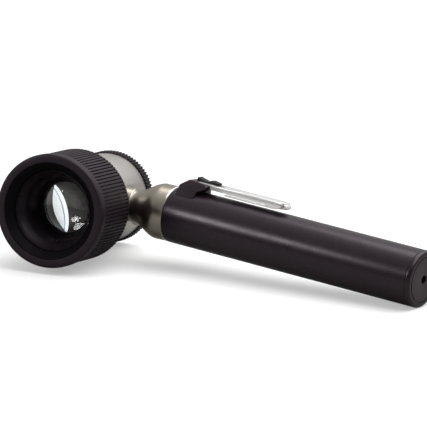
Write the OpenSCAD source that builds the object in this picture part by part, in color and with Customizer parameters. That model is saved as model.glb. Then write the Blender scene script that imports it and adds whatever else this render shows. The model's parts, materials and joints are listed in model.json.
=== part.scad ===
// Hand-held dermatoscope: a ribbed focusing eyepiece and a knurled contact plate on a metal
// head, a rounded neck with a plug-in lamp, and a battery handle with a clip and a slide switch.
// Every part is modelled with the handle axis along +X and the head axis near +Y, then laid on
// its side so that the eyepiece ring, the contact ring and the end cap rest on z = 0.

/* [Head] */
// Angle between the head axis and a square to the handle
head_yaw = 10.5; // [0:0.5:14]
// How far the head axis runs below the handle axis
head_drop = 3; // [0:0.5:4]
// Outer radius of the metal drum
drum_r = 16; // [15.8:0.1:16.4]
// Place of the drum's back edge along the head axis
drum_back = 13; // [12.5:0.1:13]
// Outer radius of the contact ring's knurl
contact_r = 16.75; // [16.5:0.05:17.5]
// Place of the contact ring's back face along the head axis
contact_back = 17.7; // [17.5:0.1:18]
// Scallops around the contact ring
contact_knurls = 84; // [60:1:90]

/* [Eyepiece] */
// Outer radius of the front rim
rim_r = 20.4; // [20.2:0.1:21.5]
// Place of the rim's front face along the head axis
rim_front = -38.4; // [-40:0.1:-38]
// Inner radius of the rim
rim_inner_r = 17.4; // [17.3:0.1:17.6]
// Place where the ribs start
rib_front = -34.7; // [-35:0.1:-34]
// Place where the ribs end
rib_back = -13; // [-13.4:0.1:-13]
// Radius over the ribs
rib_r = 20.1; // [19.9:0.1:20.3]
// Depth of the grooves between the ribs
groove_depth = 0.65; // [0.4:0.05:0.8]
// Ribs around the focusing ring
ribs = 96; // [72:1:110]
// Focusing travel of the lens each way
focus_travel = 1.7; // [0.5:0.1:1.7]

/* [Neck] */
// Place of the polished edge between neck and handle
edge_x = 35.6; // [35:0.1:36.5]
// Tilt of the neck below the handle axis
neck_tilt = 10.5; // [9:0.5:12]
// Radius of the neck's shoulder at the polished edge
shoulder_r = 10.05; // [9.9:0.05:10.1]
// Radius of the neck where it meets the head
neck_r = 5.75; // [5.7:0.05:6]

/* [Handle] */
// Outer radius of the handle tube
handle_r = 10.2; // [10.2:0.1:10.6]
// Place of the end cap's outer face
end_x = 140.5; // [140.5:0.5:145]
// Visible thickness of the end cap
cap_rim = 1.75; // [1.5:0.05:2.5]
// Radius of the battery bore
battery_bore_r = 7.6; // [7.5:0.05:7.7]
// Travel of the slide switch
switch_travel = 3; // [2:0.5:3]

/* [Clip] */
// Place of the clip's front end
clip_x = 44.2; // [44.2:0.1:44.5]
// Length of the clip
clip_len = 37.8; // [37:0.2:40]
// Height of the clip's top face above the handle axis
clip_top = 13.95; // [13.9:0.05:14.1]
// Width of the clip
clip_w = 5.8; // [5.6:0.1:6.2]
// Sheet thickness of the clip
clip_t = 0.7; // [0.5:0.05:0.7]

/* [Hidden] */
$fn = 96;

eps = 0.01;          // overlap of a cutter past the face it cuts
fit = 0.05;          // radial clearance of a running or a sliding fit
gap = 0.3;           // clearance between parts that move past each other

// ---- radii and places that the parts share ----
guide_r = 15.2;                         // outside of the drum's front guide tube
guide_bore_r = 13.2;                    // inside of that tube, where the lens cell slides
guide_front = -23.2;                    // front end of the guide tube
drum_front = rib_back + gap;            // shoulder where the full drum starts
spigot_r = 15.05;                       // back spigot that carries the contact ring
spigot_back = 15;
window_r = 14.25;                       // clear radius of the contact window
                                       // end of that spigot
lens_r = 9.85;                          // edge radius of both lenses
cell_bore_r = lens_r + fit;             // bore of the lens cell
cell_front = -25;                       // front of the lens cell's nose
cell_nose_r = 10.5;
cell_back = -14;
stop_z = -8.5;                          // end of the light baffle behind the lenses
stop_r = 7.05;
neck_u_drum = 20.5;                     // distance along the neck at which it is inside the drum
lamp_bore_r = 4.7;                      // bore of the neck around the lamp
tube_x = edge_x + 0.4;                  // front end of the handle tube
cap_seam_x = end_x - cap_rim;           // joint line between handle tube and end cap
battery_len = 50.5;                     // standard AA cell over its nub
battery_r = 7.2;
nub_r = 2.75;
nub_len = 1;
battery_x = 30.5;                       // front of the first cell's nub
insert_r = 9.1;                         // outside of the brass insert
spigot_neck_r = 8.3;                    // neck spigot inside that insert
spigot_neck_len = 8;
plug_r = 8.75;                          // plug of the end cap
plug_x = 130.7;                         // front end of that plug
cap_face_x = 137;                       // inner face of the end cap

// ---- how the object lies on a flat surface ----
// The ribbed ring's back edge, the contact ring's back edge and the end cap touch z = 0.
head_lean = atan((contact_r - rib_r) / (contact_back - rib_back));
head_reach = rib_r * cos(head_lean) - rib_back * sin(head_lean);
function roll_at(a) =
    asin((sin(head_lean) - sin(a) * sin(head_yaw)) / (cos(a) * cos(head_yaw)));
function slope_from(roll) =
    let (q = handle_r - head_drop * cos(roll))
    asin(head_reach / sqrt(end_x * end_x + q * q)) - atan(q / end_x);
function settle(a, steps) = steps == 0 ? a : settle(slope_from(roll_at(a)), steps - 1);
slope = settle(5, 8);
roll = roll_at(slope);

// Turns a direction of the modelling frame into the lying frame.
function lie(v) =
    let (y = v[1] * cos(roll) - v[2] * sin(roll), z = v[1] * sin(roll) + v[2] * cos(roll))
    [v[0] * cos(slope) + z * sin(slope), y, z * cos(slope) - v[0] * sin(slope)];
head_axis = lie([-sin(head_yaw), cos(head_yaw), 0]);
handle_axis = lie([1, 0, 0]);
head_centre = lie([0, 0, -head_drop]);
// Furthest reach of a circle along row axis i, on side s, with the circle at distance d along an axis.
function reach(centre, axis, d, r, i, s) =
    centre[i] + d * axis[i] + s * r * sqrt(1 - axis[i] * axis[i]);
rim_mid = rim_front + 1.2;
x_low = min(reach(head_centre, head_axis, rim_mid, rim_r, 0, -1),
            reach(head_centre, head_axis, rib_front, rim_r, 0, -1),
            reach(head_centre, head_axis, rib_back, rib_r, 0, -1),
            reach(head_centre, head_axis, contact_back, contact_r, 0, -1));
x_high = reach([0, 0, 0], handle_axis, end_x, handle_r, 0, 1);
y_low = reach(head_centre, head_axis, rim_front, rim_r - 1.2, 1, -1);
y_high = reach(head_centre, head_axis, contact_back, contact_r, 1, 1);
z_low = reach(head_centre, head_axis, rib_back, rib_r, 2, -1);

module laid() {
    translate([-(x_low + x_high) / 2, -(y_low + y_high) / 2, -z_low])
        rotate([0, slope, 0])
            rotate([roll, 0, 0])
                children();
}

// Head frame: +Z runs along the head axis towards the contact plate.
module on_head(z = 0) {
    laid()
        translate([0, 0, -head_drop])
            rotate([0, 0, head_yaw])
                rotate([-90, 0, 0])
                    translate([0, 0, z])
                        children();
}

// Handle frame: +Z runs along the handle towards the end cap.
module on_handle(x = 0) {
    laid()
        translate([x, 0, 0])
            rotate([0, 90, 0])
                children();
}

// Neck frame: +Z runs from the polished edge down the neck into the head.
module on_neck(u = 0) {
    laid()
        translate([edge_x, 0, 0])
            rotate([0, -(90 + neck_tilt), 0])
                translate([0, 0, u])
                    children();
}

// ---- shapes that repeat ----
module rod(r, z0, z1) {
    translate([0, 0, z0])
        cylinder(r = r, h = z1 - z0);
}

module ring(ro, ri, z0, z1) {
    difference() {
        rod(ro, z0, z1);
        rod(ri, z0 - eps, z1 + eps);
    }
}

module o_ring(centre_r, wire_r, z) {
    translate([0, 0, z])
        rotate_extrude()
            translate([centre_r, 0])
                circle(r = wire_r, $fn = 32);
}

// A block from corner a to corner b.
module block(a, b) {
    translate(a)
        cube([for (i = [0:2]) b[i] - a[i]]);
}

// 2D: a box from (x0, y0) to (x1, y1) with its two outer corners rounded at x1.
module outer_round_box(x0, y0, x1, y1, r) {
    translate([x0, y0])
        square([x1 - x0 - r, y1 - y0]);
    translate([x0, y0 + r])
        square([x1 - x0, y1 - y0 - 2 * r]);
    for (y = [y0 + r, y1 - r])
        translate([x1 - r, y])
            circle(r = r, $fn = 48);
}

// One battery with its nub towards the head.
module battery(x) {
    on_handle(x) {
        union() {
            rod(nub_r, 0, nub_len + eps);
            rotate_extrude()
                outer_round_box(0, nub_len, battery_r, battery_len - fit, 0.5);
        }
    }
}

// ---- handle ----
module handle_tube() {
    color([0.2, 0.19, 0.2])
        on_handle() {
            difference() {
                union() {
                    translate([0, 0, tube_x])
                        cylinder(r1 = handle_r - 0.35, r2 = handle_r, h = 0.6);
                    rod(handle_r, tube_x + 0.6, cap_seam_x - fit);
                }
                rod(battery_bore_r, tube_x - 1, end_x);
                rod(insert_r + fit, tube_x - 1, tube_x + spigot_neck_len);
                rod(plug_r + fit, plug_x - gap, end_x);
            }
        }
}

module thread_insert() {
    color([0.8, 0.62, 0.3])
        on_handle()
            ring(insert_r, spigot_neck_r + fit, tube_x + 0.2, tube_x + spigot_neck_len - 0.1);
}

clip_bed = clip_top - clip_t - fit;     // height of the ledge that the clip lies on
eye_r = 0.68;                           // rolled eye at the clip's root, and its pin
eye_x = clip_x + eye_r;
eye_z = clip_top - 0.73;
root_half = 1.95;
block_front = tube_x + 0.5;

module clip_block() {
    side = [
        [block_front, 9.3], [block_front + 1, 11.8], [41, 14], [42.1, 14.1], [43.4, 13.95],
        [47.9, 13.6], [49.4, 12.9], [48.6, 11.6], [46.3, 10.6], [45.9, 9], [45.9, 8],
        [block_front, 8]
    ];
    face = [[-6, 8], [-5.5, 9.6], [-2.6, 14.2], [2.6, 14.2], [5.5, 9.6], [6, 8]];
    color([0.2, 0.19, 0.2])
        laid()
            difference() {
                intersection() {
                    translate([0, 8, 0])
                        rotate([90, 0, 0])
                            linear_extrude(16)
                                polygon(side);
                    translate([block_front - 1, 0, 0])
                        rotate([90, 0, 90])
                            linear_extrude(20)
                                polygon(face);
                }
                rotate([0, 90, 0])
                    rod(handle_r + 0.02, 0, end_x);
                block([clip_x - 0.15, -root_half - 0.1, clip_bed], [60, root_half + 0.1, 20]);
                block([clip_x - 0.15, -root_half - 0.1, eye_z - eye_r - 0.08],
                      [eye_x + 0.9, root_half + 0.1, 20]);
                block([43.3, -1.6, 13.75], [60, 1.6, 20]);
                translate([eye_x, 2.75, eye_z])
                    rotate([90, 0, 0])
                        rod(0.36, 0, 5.5);
            }
}

module clip_pin() {
    color([0.75, 0.75, 0.77])
        laid()
            translate([eye_x, 2.7, eye_z])
                rotate([90, 0, 0])
                    rod(0.34, 0, 5.4);
}

module battery_front() {
    color([0.25, 0.4, 0.3])
        battery(battery_x);
}

module battery_rear() {
    color([0.25, 0.4, 0.3])
        battery(battery_x + battery_len);
}

// ---- head ----
module head_drum() {
    color([0.78, 0.77, 0.73])
        difference() {
            on_head()
                difference() {
                    union() {
                        rod(guide_r, guide_front, drum_front + 1);
                        rod(drum_r, drum_front, drum_back);
                        rod(spigot_r, drum_back - 1, spigot_back);
                    }
                    rod(guide_bore_r, guide_front - 1, drum_front + 0.8);
                    rod(guide_bore_r + 0.6, drum_front + 0.7, drum_back - 1.5);
                    rod(window_r + fit, drum_back - 1.6, spigot_back + 1);
                    ring(guide_r + 1, guide_r - 0.95, -15.5, -14.5);
                    rotate([90, 0, 0])
                        translate([0, -17.5, 0])
                            rod(0.82, guide_bore_r - 1, guide_r + 1);
                }
            on_neck()
                rod(5.65, 17, 26);
        }
}

// Radius of the neck at distance u from the polished edge.
neck_bend = [5, 15];      // the shoulder falls to the waist between these
neck_flare = 15.6;
function neck_fall(u) =
    let (t = max(0, min(1, (u - neck_bend[0]) / (neck_bend[1] - neck_bend[0])))) t * t * (3 - 2 * t);
function neck_radius(u) = shoulder_r - (shoulder_r - neck_r) * neck_fall(u);

module neck() {
    steps = 18;
    outline = concat(
        [[0, 0]],
        [for (i = [0:steps]) [neck_radius(i * neck_flare / steps), i * neck_flare / steps]],
        [[neck_r + 0.4, neck_flare + 0.3], [neck_r + 0.4, neck_u_drum + 1.5],
         [0, neck_u_drum + 1.5]]
    );
    color([0.72, 0.7, 0.66])
        difference() {
            union() {
                difference() {
                    on_neck()
                        rotate_extrude()
                            polygon(outline);
                    on_head()
                        rod(drum_r + 0.03, drum_front - 5, drum_back + 5);
                    on_handle()
                        rod(handle_r + 2, edge_x - 0.35, edge_x + 12);
                }
                on_handle()
                    rod(spigot_neck_r, edge_x - 2, tube_x + spigot_neck_len - 0.5);
                on_neck()
                    rod(5.6, neck_u_drum - 3, neck_u_drum + 1.6);
            }
            on_neck()
                rod(lamp_bore_r, 2, neck_u_drum + 8);
            on_handle()
                rod(battery_bore_r, battery_x - 0.3, tube_x + 20);
        }
}

module neck_edge() {
    color([0.9, 0.9, 0.9])
        on_handle()
            rotate_extrude()
                difference() {
                    outer_round_box(spigot_neck_r + fit, edge_x - 0.33, handle_r - 0.03,
                                    edge_x + 0.33, 0.3);
                    square([1, end_x]);
                }
}

module lamp_socket() {
    color([0.35, 0.33, 0.3])
        on_neck()
            ring(lamp_bore_r - 0.02, 3.45, 9, 16.5);
}

module lamp_base() {
    color([0.8, 0.62, 0.3])
        on_neck()
            union() {
                rod(3.4, 8.5, 15.5);
                rod(3.9, 16.55, 17.1);
                rod(3.2, 15.4, 16.7);
            }
}

module lamp_bulb() {
    color([0.85, 0.9, 0.95])
        on_neck()
            union() {
                rod(2.7, 17.15, 21.5);
                translate([0, 0, 21.5])
                    sphere(r = 2.7);
            }
}

module lamp_contact() {
    color([0.7, 0.7, 0.7])
        on_neck()
            rod(1.3, 7.7, 8.48);
}

module contact_pin() {
    color([0.8, 0.62, 0.3])
        on_neck()
            rod(1.4, 5.9, 7.68);
}

module contact_bush() {
    color([0.9, 0.88, 0.8])
        on_neck()
            ring(lamp_bore_r - 0.02, 1.45, 6.2, 7.6);
}

module guide_screw() {
    color([0.5, 0.5, 0.52])
        on_head()
            rotate([90, 0, 0])
                translate([0, -17.5, 0])
                    rod(0.8, guide_bore_r - 0.9, guide_r - 0.1);
}

module focus_seal() {
    color([0.1, 0.1, 0.1])
        on_head()
            o_ring(guide_r - 0.47, 0.45, -15);
}

// ---- eyepiece ----
module eyepiece_ring() {
    floor_r = rib_r - groove_depth;
    pitch = 360 / ribs;
    color([0.22, 0.21, 0.22])
        on_head()
            difference() {
                union() {
                    rotate_extrude()
                        translate([0, rim_front])
                            outer_round_box(rim_inner_r - 2, 0, rim_r, rib_front - rim_front, 1.1);
                    difference() {
                        rod(rib_r, rib_front - 1, rib_back);
                        for (i = [0:ribs - 1])
                            rotate(i * pitch)
                                translate([floor_r, -0.28, rib_front])
                                    cube([2, 0.56, rib_back - rib_front + 1]);
                    }
                }
                rod(rim_inner_r + fit, rim_front - 1, guide_front - 1);
                rod(guide_r + fit, guide_front - 2, rib_back + 1);
            }
}

cup_lip = rim_front + 0.35;             // front of the cup, just inside the rim
cup_step_r = 14.4;                      // edge between the dark lip and the bowl
cup_step = cup_lip + 2.4;
cup_hole_r = cell_nose_r + 0.2;
cup_hole = -25.2;
cup_back = -24.4;

module eye_cup() {
    color([0.16, 0.15, 0.16])
        on_head()
            rotate_extrude()
                polygon([
                    [rim_inner_r, cup_lip], [rim_inner_r, cup_back], [cup_hole_r, cup_back],
                    [cup_hole_r, cup_hole], [12, -30], [cup_step_r, cup_step],
                    [cup_step_r + 1.9, cup_step - 0.5], [rim_inner_r - 0.4, cup_lip]
                ]);
}

// ---- lens unit ----
module lens_cell() {
    slot_half = focus_travel + 1;
    color([0.12, 0.12, 0.13])
        on_head()
            difference() {
                union() {
                    rod(cell_nose_r, cell_front, cell_back);
                    rod(guide_bore_r - fit, -20.5, cell_back);
                    translate([0, 0, cell_back - eps])
                        cylinder(r1 = 12.2, r2 = stop_r + 1, h = stop_z - cell_back);
                }
                rod(cell_bore_r, cell_front - 1, -16.7);
                translate([0, 0, -16.75])
                    cylinder(r1 = 8.8, r2 = stop_r, h = stop_z + 16.77);
                translate([0, 0, cell_front - eps])
                    cylinder(r1 = 10.3, r2 = cell_bore_r, h = 1.2);
                rotate([90, 0, 0])
                    block([-0.9, -17.5 - slot_half, guide_bore_r - 1.6],
                          [0.9, -17.5 + slot_half, guide_bore_r + 1]);
            }
}

// Distance from a sphere's centre to the edge of a lens face of radius lens_r.
function lens_depth(sphere_r) = sqrt(sphere_r * sphere_r - lens_r * lens_r);
front_curve = 26;
back_curve = 40;
field_curve = 50;

module eye_lens() {
    color([0.8, 0.88, 0.92])
        on_head()
            intersection() {
                rod(lens_r, -30, -10);
                translate([0, 0, -21.6 + lens_depth(front_curve)])
                    sphere(r = front_curve);
                translate([0, 0, -20.2 - lens_depth(back_curve)])
                    sphere(r = back_curve);
            }
}

module lens_spacer() {
    color([0.1, 0.1, 0.1])
        on_head()
            ring(lens_r, 9.2, -19.94, -18.42);
}

module field_lens() {
    color([0.8, 0.88, 0.92])
        on_head()
            intersection() {
                rod(lens_r, -18.4, -10);
                translate([0, 0, -17.02 - lens_depth(field_curve)])
                    sphere(r = field_curve);
            }
}

module lens_retainer() {
    color([0.3, 0.3, 0.31])
        on_head()
            difference() {
                ring(lens_r, 9.1, -23.4, -21.98);
                for (a = [0, 180])
                    rotate(a)
                        block([8.8, -0.7, -24], [lens_r + 1, 0.7, -22.7]);
            }
}

// ---- contact plate ----
module contact_glass() {
    color([0.75, 0.87, 0.9])
        on_head()
            union() {
                rod(15, spigot_back + 0.75, 16.35);
                rod(window_r, 16.3, contact_back + 0.2);
            }
}

module contact_gasket() {
    color([0.1, 0.1, 0.1])
        on_head()
            ring(15, window_r + 0.2, spigot_back + 0.08, spigot_back + 0.73);
}

module contact_ring() {
    pitch = 360 / contact_knurls;
    color([0.18, 0.18, 0.19])
        on_head()
            difference() {
                rotate_extrude()
                    translate([0, drum_back + 0.15])
                        outer_round_box(10, 0, contact_r, contact_back - drum_back - 0.15, 0.5);
                rod(spigot_r + fit, drum_back - 1, 16.4);
                rod(window_r + fit, 16, contact_back + 1);
                for (i = [0:contact_knurls - 1])
                    rotate(i * pitch)
                        translate([contact_r + 0.12, 0, 0])
                            rod(0.42, drum_back - 1, contact_back + 1, $fn = 24);
            }
}

// ---- clip and switch ----
clip_end = clip_x + clip_len;
flange_front = clip_x + 6;
flange_back = clip_end - 3.5;
flange_drop = 2.6;
curl_r = 1;
stem_x = clip_x + 6.3;                  // front of the switch's stem
stem_len = 1.4;

module pocket_clip() {
    half = clip_w / 2;
    color([0.85, 0.85, 0.87])
        laid()
            difference() {
                union() {
                    block([eye_x, -root_half, clip_top - clip_t],
                          [flange_front + 1, root_half, clip_top]);
                    translate([eye_x, root_half, eye_z])
                        rotate([90, 0, 0])
                            rod(eye_r, 0, 2 * root_half);
                    block([flange_front, -half, clip_top - clip_t],
                          [flange_back, half, clip_top]);
                    block([flange_back - 1, -1.9, clip_top - clip_t],
                          [clip_end - curl_r - 0.1, 1.9, clip_top]);
                    for (side = [-1, 1])
                        translate([0, side * (half - clip_t / 2), 0])
                            block([flange_front, -clip_t / 2, clip_top - flange_drop],
                                  [flange_back, clip_t / 2, clip_top]);
                    translate([clip_end - curl_r, 1.95, clip_top - curl_r - 0.35])
                        rotate([90, 0, 0])
                            rod(curl_r, 0, 3.9);
                    translate([clip_end - curl_r - 1, 1.8, clip_top - 1.65])
                        rotate([90, 0, 0])
                            rod(0.8, 0, 3.6);
                }
                translate([eye_x, 3, eye_z])
                    rotate([90, 0, 0])
                        rod(0.4, 0, 6);
                block([stem_x - 0.25, -1.05, 0],
                      [stem_x + stem_len + switch_travel + 0.25, 1.05, 20]);
            }
}

slider_x = clip_x - 0.6;
slider_half = 1.3;

module switch_slider() {
    z0 = clip_top + 0.12;
    side = [
        [0, 0], [0, 1.3], [0.4, 1.45], [1.1, 1.2], [3.6, 0.6], [5, 0.6], [5.5, 1.15],
        [6.5, 1.2], [9, 0.75], [9, 0]
    ];
    color([0.1, 0.1, 0.1])
        laid()
            union() {
                translate([slider_x, slider_half, z0])
                    rotate([90, 0, 0])
                        linear_extrude(2 * slider_half)
                            polygon(side);
                block([stem_x, -0.9, clip_top - clip_t - 0.4], [stem_x + stem_len, 0.9, z0 + 0.2]);
            }
}

module switch_contact() {
    color([0.8, 0.62, 0.3])
        laid()
            block([stem_x - 0.6, -1.8, clip_top - clip_t - 0.8],
                  [stem_x + stem_len + 0.5, 1.8, clip_top - clip_t - 0.41]);
}

// ---- end cap ----
module cap_contact() {
    color([0.8, 0.62, 0.3])
        on_handle()
            rod(6.5, cap_face_x - 0.7, cap_face_x - 0.02);
}

spring_front = battery_x + 2 * battery_len + 0.1;
spring_back = cap_face_x - 0.75;
spring_turns = 3;
spring_wire = 0.35;                     // wire radius

// Centre line of the spring: it narrows towards the battery.
function spring_r(t) = 3.2 + 2 * t;
function spring_z(t) = spring_front + spring_wire + t * (spring_back - spring_front - 2 * spring_wire);
function spring_point(t, turn) =
    let (r = spring_r(t) + spring_wire * cos(turn))
    [r * cos(360 * spring_turns * t), r * sin(360 * spring_turns * t),
     spring_z(t) + spring_wire * sin(turn)];

module cap_spring() {
    rings = 54;
    sides = 8;
    points = [for (i = [0:rings]) for (j = [0:sides - 1]) spring_point(i / rings, 360 * j / sides)];
    walls = [for (i = [0:rings - 1]) for (j = [0:sides - 1])
        let (k = (j + 1) % sides)
        [i * sides + j, (i + 1) * sides + j, (i + 1) * sides + k, i * sides + k]];
    start = [for (j = [0:sides - 1]) j];
    finish = [for (j = [sides - 1:-1:0]) rings * sides + j];
    color([0.7, 0.7, 0.72])
        on_handle()
            polyhedron(points, concat(walls, [start, finish]));
}

module end_cap() {
    color([0.2, 0.19, 0.2])
        on_handle()
            difference() {
                union() {
                    rotate_extrude()
                        translate([0, cap_seam_x])
                            difference() {
                                outer_round_box(0, -3, handle_r, cap_rim, 1.1);
                                translate([-1, -9])
                                    square([30, 9]);
                            }
                    rod(plug_r, cap_face_x, cap_seam_x + 0.5);
                    ring(plug_r, battery_bore_r, plug_x, cap_face_x + 0.1);
                }
                rod(1.5, end_x - 2, end_x + 1);
                ring(8.3, 7.9, end_x - 0.3, end_x + 1);
                ring(plug_r + 1, plug_r - 0.95, cap_face_x + 0.3, cap_face_x + 1.3);
            }
}

module cap_seal() {
    color([0.08, 0.08, 0.08])
        on_handle()
            o_ring(plug_r - 0.47, 0.45, cap_face_x + 0.8);
}

handle_tube();
thread_insert();
clip_block();
clip_pin();
battery_front();
battery_rear();
head_drum();
neck();
neck_edge();
lamp_socket();
lamp_base();
lamp_bulb();
lamp_contact();
contact_pin();
contact_bush();
guide_screw();
focus_seal();
eyepiece_ring();
eye_cup();
lens_cell();
eye_lens();
lens_spacer();
field_lens();
lens_retainer();
contact_glass();
contact_gasket();
contact_ring();
pocket_clip();
switch_slider();
switch_contact();
cap_contact();
cap_spring();
end_cap();
cap_seal();
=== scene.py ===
"""Looks of the hand-held dermatoscope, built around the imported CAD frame."""
import json
import math

import bmesh
import bpy
from mathutils import Matrix, Vector


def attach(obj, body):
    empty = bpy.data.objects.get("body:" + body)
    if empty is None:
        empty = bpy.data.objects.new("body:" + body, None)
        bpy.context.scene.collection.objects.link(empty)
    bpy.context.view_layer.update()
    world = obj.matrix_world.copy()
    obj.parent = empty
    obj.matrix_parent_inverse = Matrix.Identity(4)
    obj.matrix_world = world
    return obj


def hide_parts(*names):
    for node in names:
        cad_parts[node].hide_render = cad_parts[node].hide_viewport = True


MM = 0.001
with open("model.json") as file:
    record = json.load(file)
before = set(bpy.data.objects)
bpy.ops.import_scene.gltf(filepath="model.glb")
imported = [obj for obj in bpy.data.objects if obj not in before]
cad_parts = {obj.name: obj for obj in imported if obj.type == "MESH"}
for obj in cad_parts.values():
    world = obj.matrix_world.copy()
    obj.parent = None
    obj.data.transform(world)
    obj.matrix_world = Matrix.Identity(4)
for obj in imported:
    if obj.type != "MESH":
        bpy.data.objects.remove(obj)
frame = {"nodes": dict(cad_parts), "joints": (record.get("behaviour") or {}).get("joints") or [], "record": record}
scene = bpy.context.scene
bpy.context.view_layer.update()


# ---- places: local millimetres to the row frame ----
def joint_line(name):
    found = [j for j in frame["joints"] if j["name"] == name][0]
    return Vector(found["pos_m"]), Vector(found["axis"]).normalized()


def place(origin, x_axis, y_axis, z_axis):
    """A matrix that puts local millimetres at origin, which is in metres."""
    m = Matrix.Identity(4)
    for column, axis in enumerate((x_axis, y_axis, z_axis)):
        for r in range(3):
            m[r][column] = axis[r] * MM
    for r in range(3):
        m[r][3] = origin[r]
    return m


def tool_place():
    """X down the handle, Z up, the origin where the head axis passes the handle axis."""
    head_point, head_axis = joint_line("focus_turn")
    cap_point, x_axis = joint_line("cap_turn")
    z_axis = x_axis.cross(head_axis).normalized()
    y_axis = z_axis.cross(x_axis)
    between = head_point - cap_point
    slant = x_axis.dot(head_axis)
    along = (between.dot(x_axis) - between.dot(head_axis) * slant) / (1 - slant * slant)
    return place(cap_point + x_axis * along, x_axis, y_axis, z_axis)


HEAD_YAW = math.radians(10.5)
HEAD_DROP = 3.0
EDGE_X = 35.6
TOOL = tool_place()


def in_tool(origin, z_dir, x_dir):
    """A place whose local Z runs along z_dir and whose X runs along x_dir, both in tool terms."""
    z_axis = Vector(z_dir).normalized()
    x_axis = Vector(x_dir).normalized()
    y_axis = z_axis.cross(x_axis)
    local = Matrix.Identity(4)
    for column, axis in enumerate((x_axis, y_axis, z_axis)):
        for r in range(3):
            local[r][column] = axis[r]
    for r in range(3):
        local[r][3] = origin[r]
    return TOOL @ local


SIN_YAW = math.sin(HEAD_YAW)
COS_YAW = math.cos(HEAD_YAW)
HEAD = in_tool((0, 0, -HEAD_DROP), (-SIN_YAW, COS_YAW, 0), (COS_YAW, SIN_YAW, 0))
HANDLE = in_tool((0, 0, 0), (1, 0, 0), (0, 0, 1))
NECK = in_tool((EDGE_X, 0, 0), (-COS_YAW, -SIN_YAW, 0), (0, 0, 1))


# ---- mesh helpers ----
def rounded(points, steps=4):
    """A profile of (radius, z) or (radius, z, fillet) corners, with the fillets drawn in."""
    out = []
    count = len(points)
    for i, corner in enumerate(points):
        here = Vector(corner[:2])
        if len(corner) < 3:
            out.append(here)
            continue
        fillet = corner[2]
        back = (Vector(points[i - 1][:2]) - here).normalized() * fillet
        ahead = (Vector(points[(i + 1) % count][:2]) - here).normalized() * fillet
        for k in range(steps + 1):
            t = k / steps
            out.append(here + back * (1 - t) ** 2 + ahead * t ** 2)
    return out


def finish_mesh(name, bm, where, sharp_deg=34):
    """Turns a bmesh in local millimetres into an object in the row frame."""
    bmesh.ops.remove_doubles(bm, verts=bm.verts, dist=1e-5)
    bmesh.ops.recalc_face_normals(bm, faces=bm.faces)
    for face in bm.faces:
        face.smooth = True
    for edge in bm.edges:
        if len(edge.link_faces) == 2 and edge.calc_face_angle(0) > math.radians(sharp_deg):
            edge.smooth = False
    bm.transform(where)
    mesh = bpy.data.meshes.new(name)
    bm.to_mesh(mesh)
    bm.free()
    obj = bpy.data.objects.new(name, mesh)
    scene.collection.objects.link(obj)
    return obj


def lathe(name, points, where, columns=128, relief=None, closed=True, steps=4):
    """Turns a profile about the local Z axis. relief(angle, r, z) gives a new (r, z)."""
    profile = rounded(points, steps)
    bm = bmesh.new()
    rings = []
    for p in profile:
        if p.x < 1e-6:
            rings.append([bm.verts.new((0, 0, p.y))])
            continue
        ring = []
        for i in range(columns):
            angle = 2 * math.pi * i / columns
            r, z = (p.x, p.y) if relief is None else relief(angle, p.x, p.y)
            ring.append(bm.verts.new((r * math.cos(angle), r * math.sin(angle), z)))
        rings.append(ring)
    pairs = list(zip(rings, rings[1:]))
    if closed:
        pairs.append((rings[-1], rings[0]))
    for a, b in pairs:
        join_rings(bm, a, b, columns)
    return finish_mesh(name, bm, where)


def join_rings(bm, a, b, columns):
    if len(a) == 1 and len(b) == 1:
        return
    for i in range(columns):
        k = (i + 1) % columns
        if len(a) == 1:
            bm.faces.new((a[0], b[k], b[i]))
        elif len(b) == 1:
            bm.faces.new((a[i], a[k], b[0]))
        else:
            bm.faces.new((a[i], a[k], b[k], b[i]))


def slab_mesh(outline, y0, y1, bevel, splits=(), width_at=None):
    """A solid from a side outline of (x, z), with y from y0 to y1 and bevelled edges."""
    bm = bmesh.new()
    near = [bm.verts.new((x, y0, z)) for x, z in outline]
    far = [bm.verts.new((x, y1, z)) for x, z in outline]
    count = len(outline)
    bm.faces.new(near)
    bm.faces.new(list(reversed(far)))
    for i in range(count):
        k = (i + 1) % count
        bm.faces.new((near[k], near[i], far[i], far[k]))
    for height in splits:
        geometry = bm.verts[:] + bm.edges[:] + bm.faces[:]
        bmesh.ops.bisect_plane(bm, geom=geometry, plane_co=(0, 0, height), plane_no=(0, 0, 1))
    if width_at is not None:
        for v in bm.verts:
            v.co.y = math.copysign(width_at(v.co.z), v.co.y)
    if bevel > 0:
        soften(bm, bevel)
    return bm


def soften(bm, width):
    """Rounds every sharp edge by that width."""
    bmesh.ops.recalc_face_normals(bm, faces=bm.faces)
    sharp = [e for e in bm.edges if len(e.link_faces) == 2 and e.calc_face_angle(0) > 0.15]
    bmesh.ops.bevel(bm, geom=sharp, offset=width, segments=3, profile=0.5,
                    affect="EDGES", clamp_overlap=True)


def slab(name, outline, y0, y1, where, bevel=0.15, splits=(), width_at=None):
    return finish_mesh(name, slab_mesh(outline, y0, y1, bevel, splits, width_at), where, 28)


def cut(obj, cutter):
    """Takes cutter away from obj and deletes it."""
    step = obj.modifiers.new("cut", "BOOLEAN")
    step.operation = "DIFFERENCE"
    step.solver = "EXACT"
    step.object = cutter
    bake(obj)
    bpy.data.objects.remove(cutter)
    return obj


def bake(obj):
    """Replaces the mesh of obj with its modified mesh."""
    bpy.context.view_layer.update()
    graph = bpy.context.evaluated_depsgraph_get()
    made = bpy.data.meshes.new_from_object(obj.evaluated_get(graph))
    obj.modifiers.clear()
    obj.data = made


def join(name, objects):
    """One object from several, all still in the row frame."""
    bm = bmesh.new()
    for o in objects:
        bm.from_mesh(o.data)
        bpy.data.objects.remove(o)
    mesh = bpy.data.meshes.new(name)
    bm.to_mesh(mesh)
    bm.free()
    obj = bpy.data.objects.new(name, mesh)
    scene.collection.objects.link(obj)
    return obj


def blend_step(low, high, value):
    t = max(0.0, min(1.0, (value - low) / (high - low)))
    return t * t * (3 - 2 * t)


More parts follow.
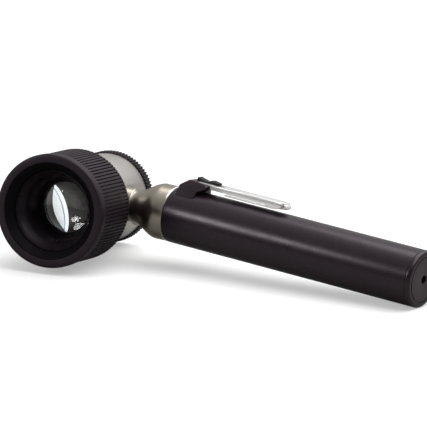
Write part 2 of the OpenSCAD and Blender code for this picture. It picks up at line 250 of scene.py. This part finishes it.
# ---- the head ----
def eyepiece_ring():
    ribs = 96
    floor_r = 19.5
    rib_start = -34.35
    rib_end = -13.35

    def rib_relief(angle, r, z):
        if z < rib_start + 0.01 or r < floor_r:
            return r, z
        share = (angle * ribs / (2 * math.pi)) % 1.0
        groove = 1 - blend_step(0.08, 0.22, abs(share - 0.5))
        if z > rib_end:
            groove *= 0.35
        return r - (r - floor_r) * groove, z

    points = [
        (17.45, -38.4, 0.25), (20.4, -38.4, 1.15), (20.4, -34.75, 0.2), (19.5, -34.75),
        (19.5, -34.35), (20.1, -34.35, 0.12), (20.1, -13.4), (20.1, -13.0, 0.25), (15.25, -13.0),
        (15.25, -24.2), (17.45, -24.2),
    ]
    return lathe("eyepiece_grip", points, HEAD, ribs * 10, rib_relief)


def eye_cup():
    points = [
        (17.4, -38.1), (17.4, -24.4), (10.7, -24.4), (10.7, -25.2, 0.2), (11.5, -30.6, 1.6),
        (14.2, -34.6, 1.2), (14.5, -35.5, 0.2), (17.15, -38.1, 0.1),
    ]
    return lathe("eye_cup_bowl", points, HEAD, 160)


def lens_cell():
    """The black tube that carries both lenses, with the light baffle behind them."""
    points = [
        (10.3, -25.0, 0.15), (10.5, -25.0, 0.1), (10.5, -20.5), (13.15, -20.5, 0.2),
        (13.15, -14.0), (12.2, -14.0), (8.8, -8.5), (7.8, -8.5), (8.8, -16.7),
        (9.9, -16.7), (9.9, -23.8),
    ]
    cell = lathe("lens_cell_tube", points, HEAD, 160)
    slot = [(11.6, -20.2), (14.2, -20.2), (14.2, -14.8), (11.6, -14.8)]
    upward = HEAD @ Matrix.Rotation(math.radians(-90), 4, "Z")
    return cut(cell, slab("key", slot, -0.9, 0.9, upward, 0))


def cap_points(radius, rim_r, edge_z, toward, steps=10):
    """Points from the rim to the axis along a sphere whose vertex lies toward = -1 or 1."""
    centre = math.sqrt(radius * radius - rim_r * rim_r)
    out = []
    for k in range(steps + 1):
        r = rim_r * (1 - k / steps)
        out.append((r, edge_z + toward * (math.sqrt(radius * radius - r * r) - centre)))
    return out


def eye_lens():
    front = list(reversed(cap_points(26, 9.82, -21.6, -1, 20)))
    back = cap_points(40, 9.82, -20.22, 1, 20)
    return lathe("eye_lens_glass", front + back, HEAD, 128, closed=False)


def field_lens():
    back = cap_points(50, 9.82, -17.02, 1, 20)
    return lathe("field_lens_glass", [(0, -18.38)] + [(9.82, -18.38)] + back, HEAD, 128,
                 closed=False)


def lens_retainer():
    def notch(angle, r, z):
        off = min(abs(math.sin(angle)) * r, 5.0)
        if z < -22.7 and off < 0.72:
            return r, -22.7
        return r, z

    points = [(9.1, -23.4, 0.12), (9.82, -23.4, 0.05), (9.82, -22.0), (9.1, -22.0)]
    return lathe("lens_retainer_ring", points, HEAD, 720, notch)


def head_drum():
    points = [
        (15.2, -23.2), (15.2, -12.7), (16.0, -12.7, 0.25), (16.0, 13.0, 0.35), (15.05, 13.0),
        (15.05, 15.0), (14.3, 15.0), (14.3, 12.9), (14.3, 11.4), (13.8, 11.4), (13.8, -12.0),
        (13.2, -12.0), (13.2, -23.2),
    ]
    drum = lathe("drum_shell", points, HEAD, 192)
    hole = lathe("hole", [(0, 17.0), (5.65, 17.0), (5.65, 26.0), (0, 26.0)], NECK, 48,
                 closed=False)
    drum = cut(drum, hole)
    groove = [(14.25, -15.5), (15.6, -15.5), (15.6, -14.5), (14.25, -14.5)]
    return cut(drum, lathe("groove", groove, HEAD, 192))


def contact_ring():
    knurls = 84

    def knurl(angle, r, z):
        if r < 15.9:
            return r, z
        share = (angle * knurls / (2 * math.pi)) % 1.0
        groove = 1 - blend_step(0.05, 0.4, abs(share - 0.5))
        return r - 0.5 * groove, z

    points = [
        (15.1, 13.15), (16.75, 13.15, 0.35), (16.75, 17.7, 0.6), (14.35, 17.7, 0.2),
        (14.35, 16.4), (15.1, 16.4),
    ]
    return lathe("contact_collar_ring", points, HEAD, knurls * 10, knurl)


def neck_radius(u):
    return 10.05 - 4.3 * blend_step(5.0, 15.0, u)


def neck():
    """The shoulder, then the boss whose end follows the drum, then the spigot in the handle."""
    cross_u = EDGE_X * math.cos(HEAD_YAW)
    seat_r = 16.03
    boss_r = 6.15

    def seat(angle, r, z):
        if z < 18.6:
            return r, z
        height = HEAD_DROP + r * math.cos(angle)
        return r, cross_u - math.sqrt(seat_r ** 2 - height ** 2)

    shoulder = [(neck_radius(0) - 0.12, 0.25)]
    for k in range(1, 25):
        u = 0.25 + (15.5 - 0.25) * k / 24
        shoulder.append((neck_radius(u), u))
    points = shoulder + [
        (5.78, 15.62), (boss_r - 0.12, 15.8), (boss_r, 16.05, 0.05),
        (boss_r, 19.0), (4.72, 19.0), (4.72, 5.0), (3.0, 5.0), (3.0, -8.0), (8.3, -8.0),
        (8.3, 0.25),
    ]
    return lathe("neck_shell", points, NECK, 160, seat, steps=2)


def neck_edge():
    points = [(8.35, 35.27), (10.15, 35.27, 0.3), (10.15, 35.93, 0.3), (8.35, 35.93)]
    return lathe("neck_edge_bead", points, HANDLE, 160)


# ---- the handle ----
def handle_tube():
    points = [
        (9.15, 36.0), (9.9, 36.0, 0.1), (10.2, 36.5, 0.3), (10.2, 138.68, 0.12),
        (8.82, 138.68), (8.82, 130.6), (7.6, 130.6), (7.6, 44.0), (9.15, 44.0),
    ]
    return lathe("handle_shell", points, HANDLE, 192)


def end_cap():
    points = [
        (0, 138.5), (1.5, 138.5), (1.5, 140.5, 0.12), (7.9, 140.5), (7.9, 140.2),
        (8.3, 140.2), (8.3, 140.5), (10.2, 140.5, 1.15), (10.2, 138.78, 0.12),
        (8.75, 138.78), (8.75, 138.3), (7.85, 138.3), (7.85, 137.3), (8.75, 137.3),
        (8.75, 130.72), (7.62, 130.72), (7.62, 137.0), (0, 137.0),
    ]
    return lathe("end_cap_shell", points, HANDLE, 160, closed=False)


def block_width(z):
    """Half the block's width at that height: it runs out softly onto the tube."""
    if z < 8.0:
        return 6.35 + 0.9 * (8.0 - z)
    if z < 9.6:
        return 6.35 - 0.85 * (z - 8.0) / 1.6
    return 5.5 - 2.9 * (z - 9.6) / 4.6


def clip_block():
    """The hump that holds the clip: swept front, slot for the clip and its rolled eye."""
    outline = [
        (36.5, 9.3), (37.5, 11.8), (41.0, 14.0), (42.1, 14.1), (43.4, 13.95), (47.9, 13.6),
        (49.4, 12.9), (48.6, 11.6), (46.3, 10.6), (45.9, 9.0), (45.9, 6.6), (36.5, 6.6),
    ]
    bm = slab_mesh(outline, -1, 1, 0, (8.0, 9.6), block_width)
    for v in bm.verts:
        if v.co.x < 42.5:
            v.co.x += 0.05 * v.co.y ** 2 * (42.5 - v.co.x) / 6
    soften(bm, 0.3)
    block = finish_mesh("clip_block_body", bm, TOOL, 28)
    cutters = [
        slab("slot", box_outline(44.05, 13.2, 60, 20), -2.05, 2.05, TOOL, 0),
        slab("eye_slot", box_outline(44.05, 12.46, 45.78, 20), -2.05, 2.05, TOOL, 0),
        slab("channel", box_outline(43.3, 13.75, 60, 20), -1.6, 1.6, TOOL, 0),
        lathe("tube", [(0, 30), (10.21, 30), (10.21, 60), (0, 60)], HANDLE, 192, closed=False),
    ]
    for cutter in cutters:
        block = cut(block, cutter)
    return block


def box_outline(x0, z0, x1, z1):
    return [(x0, z0), (x1, z0), (x1, z1), (x0, z1)]


def sheet_part(name, outlines, thickness, where, bevel=0.1):
    """Sheet metal of that thickness from flat outlines; the ones after the first are holes."""
    data = bpy.data.curves.new(name, "CURVE")
    data.dimensions = "2D"
    data.fill_mode = "BOTH"
    data.extrude = thickness / 2 - bevel
    data.bevel_depth = bevel
    data.bevel_resolution = 2
    for points in outlines:
        line = data.splines.new("POLY")
        line.points.add(len(points) - 1)
        for p, (x, y) in zip(line.points, points):
            p.co = (x, y, 0, 1)
        line.use_cyclic_u = True
    source = bpy.data.objects.new(name, data)
    scene.collection.objects.link(source)
    bpy.context.view_layer.update()
    graph = bpy.context.evaluated_depsgraph_get()
    mesh = bpy.data.meshes.new_from_object(source.evaluated_get(graph))
    bpy.data.objects.remove(source)
    bm = bmesh.new()
    bm.from_mesh(mesh)
    return finish_mesh(name, bm, where, 50)


CLIP_TOP = 13.95
CLIP_HALF = 2.9
EYE_X = 44.88
EYE_Z = 13.22


def clip_plate():
    """The clip's top, with the slot that the switch's stem slides in."""
    outline = [
        (44.88, -1.8), (45.1, -1.9), (49.6, -1.95), (50.5, -2.75), (51.2, -2.85),
        (78.2, -2.85), (79.2, -2.4), (80.0, -1.9), (81.2, -1.85), (81.2, 1.85), (80.0, 1.9),
        (79.2, 2.4), (78.2, 2.85), (51.2, 2.85), (50.5, 2.75), (49.6, 1.95), (45.1, 1.9),
        (44.88, 1.8),
    ]
    slot = [(50.25, -1.05), (50.25, 1.05), (55.15, 1.05), (55.15, -1.05)]
    where = TOOL @ Matrix.Translation((0, 0, CLIP_TOP - 0.35))
    return sheet_part("clip_plate", [outline, slot], 0.7, where, 0.12)


def clip_wall(side):
    """One side wall: an upper strip, then a lower strip that is free at its front end."""
    outline = [
        (50.4, 13.8), (50.4, 12.5), (50.7, 12.35), (73.8, 12.35), (74.1, 12.15),
        (73.8, 11.97), (57.2, 11.97), (56.6, 11.7), (57.2, 11.4), (78.2, 11.4), (79.6, 11.9),
        (80.3, 12.8), (80.2, 13.6), (79.4, 13.8),
    ]
    turn = Matrix.Rotation(math.radians(90), 4, "X")
    where = TOOL @ Matrix.Translation((0, side * (CLIP_HALF - 0.35), 0)) @ turn
    return sheet_part("clip_wall", [outline], 0.6, where, 0.12)


def clip_curl():
    """The rolled tip: a strip that turns down under the plate's end, then its grip bump."""
    x_mid = 81.0
    z_mid = 12.6
    outer = 1.0
    thick = 0.5
    outside = []
    inside = []
    for k in range(15):
        angle = math.radians(95 - 275 * k / 14)
        outside.append((x_mid + outer * math.cos(angle), z_mid + outer * math.sin(angle)))
        shrunk = outer - thick
        inside.append((x_mid + shrunk * math.cos(angle), z_mid + shrunk * math.sin(angle)))
    roll = slab("clip_roll", outside + list(reversed(inside)), -1.92, 1.92, TOOL, 0.06)
    bump = []
    for k in range(20):
        angle = 2 * math.pi * k / 20
        bump.append((80.0 + 0.7 * math.cos(angle), 12.3 + 0.7 * math.sin(angle)))
    return [roll, slab("clip_bump", bump, -1.8, 1.8, TOOL, 0.1)]


def pocket_clip():
    across = in_tool((EYE_X, 0, EYE_Z), (0, 1, 0), (1, 0, 0))
    ring = [(0.4, -1.95), (0.68, -1.95, 0.06), (0.68, 1.95, 0.06), (0.4, 1.95)]
    eye = lathe("clip_eye", ring, across, 32)
    parts = [clip_plate(), clip_wall(-1), clip_wall(1), eye] + clip_curl()
    return join("pocket_clip_spring", parts)


def switch_slider():
    x0 = 43.6
    z0 = 14.07
    outline = [
        (0, 0), (0, 1.3), (0.4, 1.45), (1.1, 1.2), (3.6, 0.6), (5.0, 0.6), (5.5, 1.15),
        (6.5, 1.2), (9.0, 0.75), (9.0, 0),
    ]
    moved = [(x0 + x, z0 + z) for x, z in outline]
    plate = slab("slider_plate", moved, -1.3, 1.3, TOOL, 0.12)
    stem = slab("slider_stem", box_outline(50.5, 12.85, 51.9, 14.2), -0.9, 0.9, TOOL, 0.05)
    return join("switch_slider_plate", [plate, stem])


# ---- materials ----
FINE_GRAIN = 2500                       # noise scales, per metre of the object
BLOTCHES = 90
UNEVENNESS = 260
GRAIN_DEPTH = 0.01                      # mm
PLUM_SHEEN = (1.0, 0.88, 0.97, 1)
GLASS_TINT = (0.97, 0.99, 0.98)


def shader(name):
    """A new material with its nodes, its links and its surface shader."""
    material = bpy.data.materials.new(name)
    material.use_nodes = True
    nodes = material.node_tree.nodes
    surface = nodes["Principled BSDF"]
    return material, nodes, material.node_tree.links, surface


def grain(nodes, links, scale, detail=4.0):
    """Fractal noise in the object's own coordinates."""
    where = nodes.new("ShaderNodeTexCoord")
    noise = nodes.new("ShaderNodeTexNoise")
    noise.inputs["Scale"].default_value = scale
    noise.inputs["Detail"].default_value = detail
    noise.inputs["Roughness"].default_value = 0.55
    links.new(where.outputs["Object"], noise.inputs["Vector"])
    return noise.outputs["Fac"]


def spread(nodes, links, value, low, high):
    """value from 0.3..0.7 spread over low..high."""
    step = nodes.new("ShaderNodeMapRange")
    step.inputs["From Min"].default_value = 0.3
    step.inputs["From Max"].default_value = 0.7
    step.inputs["To Min"].default_value = low
    step.inputs["To Max"].default_value = high
    links.new(value, step.inputs["Value"])
    return step.outputs["Result"]


def two_tone(nodes, links, value, dark, light):
    mix = nodes.new("ShaderNodeMix")
    mix.data_type = "RGBA"
    mix.inputs["A"].default_value = (*dark, 1)
    mix.inputs["B"].default_value = (*light, 1)
    links.new(spread(nodes, links, value, 0, 1), mix.inputs["Factor"])
    return mix.outputs["Result"]


def worn(name, dark, light, rough, metallic=0.0, bump=0.1, specular=0.5):
    """Paint, plastic or metal: blotchy colour, uneven roughness, fine grain and faint wear."""
    material, nodes, links, surface = shader(name)
    blotch = grain(nodes, links, BLOTCHES, 5)
    fine = grain(nodes, links, FINE_GRAIN, 3)
    links.new(two_tone(nodes, links, blotch, dark, light), surface.inputs["Base Color"])
    uneven = spread(nodes, links, grain(nodes, links, UNEVENNESS, 6), rough * 0.88, rough * 1.12)
    links.new(uneven, surface.inputs["Roughness"])
    surface.inputs["Metallic"].default_value = metallic
    surface.inputs["Specular IOR Level"].default_value = specular
    if metallic == 0:
        surface.inputs["Specular Tint"].default_value = PLUM_SHEEN
    relief = nodes.new("ShaderNodeBump")
    relief.inputs["Strength"].default_value = bump
    relief.inputs["Distance"].default_value = GRAIN_DEPTH * MM
    links.new(fine, relief.inputs["Height"])
    links.new(relief.outputs["Normal"], surface.inputs["Normal"])
    return material


def lens_glass(name):
    """Optical glass with a faint uneven haze."""
    material, nodes, links, surface = shader(name)
    haze = grain(nodes, links, 160, 6)
    links.new(two_tone(nodes, links, haze, GLASS_TINT, (1, 1, 1)), surface.inputs["Base Color"])
    links.new(spread(nodes, links, haze, 0.0, 0.006), surface.inputs["Roughness"])
    surface.inputs["Transmission Weight"].default_value = 1.0
    surface.inputs["IOR"].default_value = 1.5
    surface.inputs["Specular IOR Level"].default_value = 0.3
    return material


def light_ring():
    """A guess that the photo does not show: white around the window, with a painted glow: emission makes it shine,
    though it is no lamp.
    """
    material = worn("light_ring", (0.86, 0.86, 0.88), (0.9, 0.9, 0.92), 0.3)
    surface = material.node_tree.nodes["Principled BSDF"]
    surface.inputs["Emission Color"].default_value = (0.9, 0.94, 1.0, 1)
    surface.inputs["Emission Strength"].default_value = 0.8
    return material


def all_materials():
    made = {}
    made["handle_black"] = worn("handle_black", (0.0085, 0.0048, 0.0074),
                                (0.0118, 0.0068, 0.0102), 0.3, bump=0.15, specular=0.36)
    made["ring_black"] = worn("ring_black", (0.0098, 0.0062, 0.0088), (0.014, 0.0092, 0.0125),
                              0.5, bump=0.25, specular=0.24)
    made["cup_black"] = worn("cup_black", (0.0062, 0.0042, 0.006), (0.0092, 0.0064, 0.009),
                             0.3, bump=0.03, specular=0.7)
    # A darker, duller copy of cup_black: painted shade on the cup's steep lip.
    made["lip_black"] = worn("lip_black", (0.0012, 0.0008, 0.0012), (0.002, 0.0014, 0.002),
                             0.55, bump=0.15, specular=0.08)
    made["bore_black"] = worn("bore_black", (0.003, 0.003, 0.003), (0.0045, 0.0045, 0.0045),
                              0.5, bump=0.01, specular=0.1)
    made["cell_black"] = worn("cell_black", (0.003, 0.0027, 0.0031), (0.0045, 0.004, 0.0047),
                              0.4, bump=0.01, specular=0.15)
    made["switch_black"] = worn("switch_black", (0.006, 0.0055, 0.006), (0.009, 0.0085, 0.009),
                                0.4, bump=0.12, specular=0.3)
    made["satin_metal"] = worn("satin_metal", (0.47, 0.45, 0.43), (0.53, 0.51, 0.49), 0.38,
                               1.0, bump=0.12)
    made["satin_nickel"] = worn("satin_nickel", (0.31, 0.28, 0.235), (0.35, 0.32, 0.27), 0.3,
                                1.0, bump=0.05)
    # Only 0.62 metallic, so the near-white base shows as a painted white reflection.
    made["polished_chrome"] = worn("polished_chrome", (0.88, 0.88, 0.88), (0.93, 0.93, 0.93),
                                   0.16, 0.62, bump=0.02)
    made["steel"] = worn("steel", (0.52, 0.52, 0.53), (0.62, 0.62, 0.63), 0.28, 1.0)
    made["brass"] = worn("brass", (0.68, 0.47, 0.19), (0.76, 0.56, 0.26), 0.3, 1.0)
    made["rubber"] = worn("rubber", (0.010, 0.010, 0.010), (0.016, 0.016, 0.016), 0.7)
    made["ivory_plastic"] = worn("ivory_plastic", (0.70, 0.66, 0.55), (0.78, 0.74, 0.63), 0.45)
    made["battery_can"] = worn("battery_can", (0.10, 0.12, 0.16), (0.14, 0.16, 0.2), 0.3)
    made["light_ring"] = light_ring()
    made["lens_glass"] = lens_glass("lens_glass")
    return made


def also(obj, materials, name, test):
    """Gives the faces whose middle passes test(radius, z) in the head's place another material."""
    obj.data.materials.append(materials[name])
    index = len(obj.data.materials) - 1
    back = HEAD.inverted()
    for face in obj.data.polygons:
        middle = back @ face.center
        if test(math.hypot(middle.x, middle.y), middle.z):
            face.material_index = index


def dress(obj, materials, name):
    obj.data.materials.clear()
    obj.data.materials.append(materials[name])


def dress_cad(materials):
    """Makes the contact gasket white with a painted glow.

    The loop is meant to give every shown CAD node the material of its slot. It finds none,
    because the record keeps its nodes under "subparts", so those nodes keep the frame's plain
    colours; this is an open fault.
    """
    for part in frame["record"]["materials"]:
        for node in part.get("nodes", []):
            if node in frame["nodes"] and part["slot"] in materials:
                dress(frame["nodes"][node], materials, part["slot"])
    dress(frame["nodes"]["contact_gasket"], materials, "light_ring")


# ---- the set ----
def seen_directly(nodes, links):
    """1 for what the camera sees straight or through glass, 0 for reflections and other light."""
    path = nodes.new("ShaderNodeLightPath")
    through = nodes.new("ShaderNodeMath")
    through.operation = "MINIMUM"
    links.new(path.outputs["Is Transmission Ray"], through.inputs[0])
    plain = nodes.new("ShaderNodeMath")
    plain.operation = "LESS_THAN"
    plain.inputs[1].default_value = 0.5
    links.new(path.outputs["Glossy Depth"], plain.inputs[0])
    links.new(plain.outputs["Value"], through.inputs[1])
    either = nodes.new("ShaderNodeMath")
    either.operation = "MAXIMUM"
    links.new(path.outputs["Is Camera Ray"], either.inputs[0])
    links.new(through.outputs["Value"], either.inputs[1])
    return either.outputs["Value"]


def floor():
    bm = bmesh.new()
    half = 2.5
    corners = [(-half, -half, 0), (half, -half, 0), (half, half, 0), (-half, half, 0)]
    bm.faces.new([bm.verts.new(c) for c in corners])
    mesh = bpy.data.meshes.new("floor")
    bm.to_mesh(mesh)
    bm.free()
    obj = bpy.data.objects.new("floor", mesh)
    scene.collection.objects.link(obj)
    material, nodes, links, surface = shader("floor_white")
    tone = two_tone(nodes, links, grain(nodes, links, 3), (0.54, 0.54, 0.54), (0.56, 0.56, 0.56))
    direct = seen_directly(nodes, links)
    mix = nodes.new("ShaderNodeMix")
    mix.data_type = "RGBA"
    mix.inputs["A"].default_value = (0.34, 0.33, 0.32, 1)
    links.new(direct, mix.inputs["Factor"])
    links.new(tone, mix.inputs["B"])
    links.new(mix.outputs["Result"], surface.inputs["Base Color"])
    glow = nodes.new("ShaderNodeMath")
    glow.operation = "MULTIPLY"
    glow.inputs[1].default_value = 0.38
    links.new(direct, glow.inputs[0])
    surface.inputs["Emission Color"].default_value = (1, 1, 1, 1)
    links.new(glow.outputs["Value"], surface.inputs["Emission Strength"])
    surface.inputs["Roughness"].default_value = 0.8
    surface.inputs["Specular IOR Level"].default_value = 0.1
    mesh.materials.append(material)


def soft_light(name, position, target, size, power):
    data = bpy.data.lights.new(name, "AREA")
    data.shape = "RECTANGLE"
    data.size = size[0]
    data.size_y = size[1]
    data.energy = power
    obj = bpy.data.objects.new(name, data)
    obj.location = position
    aim = Vector(target) - Vector(position)
    obj.rotation_mode = "QUATERNION"
    obj.rotation_quaternion = aim.to_track_quat("-Z", "Y")
    scene.collection.objects.link(obj)


def studio_sky():
    """A light tent: bright overhead and behind, dim in front and near the horizon."""
    world = bpy.data.worlds.new("studio")
    world.use_nodes = True
    scene.world = world
    nodes = world.node_tree.nodes
    links = world.node_tree.links
    sky = nodes["Background"]
    where = nodes.new("ShaderNodeTexCoord")
    slope = nodes.new("ShaderNodeVectorMath")
    slope.operation = "DOT_PRODUCT"
    slope.inputs[1].default_value = (0.0, 0.5, 1.0)
    links.new(where.outputs["Generated"], slope.inputs[0])
    share = nodes.new("ShaderNodeMapRange")
    share.inputs["From Min"].default_value = -0.5
    share.inputs["From Max"].default_value = 1.0
    links.new(slope.outputs["Value"], share.inputs["Value"])
    ramp = nodes.new("ShaderNodeValToRGB")
    ramp.color_ramp.elements[0].position = 0.0
    ramp.color_ramp.elements[0].color = (0.06, 0.05, 0.045, 1)
    ramp.color_ramp.elements[1].position = 1.0
    ramp.color_ramp.elements[1].color = (1, 1, 1, 1)
    middle = ramp.color_ramp.elements.new(0.4)
    middle.color = (0.1, 0.09, 0.08, 1)
    upper = ramp.color_ramp.elements.new(0.66)
    upper.color = (0.62, 0.62, 0.62, 1)
    links.new(share.outputs["Result"], ramp.inputs["Fac"])
    white = nodes.new("ShaderNodeMix")
    white.data_type = "RGBA"
    white.inputs["B"].default_value = (1.12, 1.15, 1.2, 1)
    links.new(seen_directly(nodes, links), white.inputs["Factor"])
    links.new(ramp.outputs["Color"], white.inputs["A"])
    links.new(white.outputs["Result"], sky.inputs["Color"])
    sky.inputs["Strength"].default_value = 0.8


def lights():
    soft_light("overhead", (0.5, 0.45, 1.5), (0, 0.05, 0), (2.4, 2.0), 46)
    soft_light("front_left", (-0.68, -0.9, 0.52), (0, 0, 0.02), (0.5, 0.24), 5.0)


AZIMUTH = math.radians(31.57)
ELEVATION = math.radians(9.81)
ROLL = math.radians(8.77)
DISTANCE = 1890.0
AIM = Vector((51.7, 0, 3.22))
FOCAL_SHARE = 5310.0 / 430.0


def camera():
    """The view of the photo, given about the tool frame."""
    back = Vector((math.sin(AZIMUTH) * math.cos(ELEVATION),
                   -math.cos(AZIMUTH) * math.cos(ELEVATION), math.sin(ELEVATION)))
    side = (-back).cross(Vector((0, 0, 1))).normalized()
    top = side.cross(-back)
    right = side * math.cos(ROLL) + top * math.sin(ROLL)
    up = top * math.cos(ROLL) - side * math.sin(ROLL)
    turn = TOOL.to_3x3() * (1 / MM)
    pose = Matrix.Identity(4)
    for column, axis in enumerate((turn @ right, turn @ up, turn @ back)):
        for r in range(3):
            pose[r][column] = axis[r]
    eye = TOOL @ (AIM + back * DISTANCE)
    for r in range(3):
        pose[r][3] = eye[r]
    data = bpy.data.cameras.new("camera")
    data.sensor_width = 36.0
    data.lens = FOCAL_SHARE * data.sensor_width
    data.clip_start = 0.1
    data.clip_end = 20
    obj = bpy.data.objects.new("camera", data)
    obj.matrix_world = pose
    scene.collection.objects.link(obj)
    scene.camera = obj


# ---- assembly ----
# piece builder, body it rides on, CAD node it stands for, material slot
PIECES = [
    (eyepiece_ring, "eyepiece", "eyepiece_ring", "ring_black"),
    (eye_cup, "eyepiece", "eye_cup", "cup_black"),
    (lens_cell, "lens_unit", "lens_cell", "cell_black"),
    (eye_lens, "lens_unit", "eye_lens", "lens_glass"),
    (field_lens, "lens_unit", "field_lens", "lens_glass"),
    (lens_retainer, "lens_unit", "lens_retainer", "cell_black"),
    (head_drum, "head", "head_drum", "satin_metal"),
    (contact_ring, "contact_collar", "contact_ring", "ring_black"),
    (neck, "head", "neck", "satin_nickel"),
    (neck_edge, "head", "neck_edge", "polished_chrome"),
    (handle_tube, "handle", "handle_tube", "handle_black"),
    (clip_block, "handle", "clip_block", "handle_black"),
    (pocket_clip, "clip", "pocket_clip", "polished_chrome"),
    (switch_slider, "switch", "switch_slider", "switch_black"),
    (end_cap, "cap", "end_cap", "handle_black"),
]


SPIGOT_INSIDE_R = 14.9
BORE_R = 15.0
WINDOW_Z = 12.9                         # the bore is black in front of this, white with a painted glow behind it
CUP_LIP_R = 14.4
COLLAR_INSIDE_R = 14.5


def build():
    materials = all_materials()
    dress_cad(materials)
    for builder, body, node, slot_name in PIECES:
        piece = builder()
        dress(piece, materials, slot_name)
        if builder is head_drum:
            also(piece, materials, "bore_black", lambda r, z: r < BORE_R and z < WINDOW_Z)
            # the drum's inside behind the window: white with a painted glow
            also(piece, materials, "light_ring",
                 lambda r, z: r < SPIGOT_INSIDE_R and z > WINDOW_Z + 0.01)
        if builder is eye_cup:
            # the cup's lip: a darker, duller copy of the cup's black, painted shade
            also(piece, materials, "lip_black", lambda r, z: r > CUP_LIP_R)
        if builder is contact_ring:
            # the collar's inside: white with a painted glow
            also(piece, materials, "light_ring", lambda r, z: r < COLLAR_INSIDE_R)
        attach(piece, body)
        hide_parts(node)


scene.view_settings.view_transform = "Standard"
build()
floor()
studio_sky()
lights()
camera()
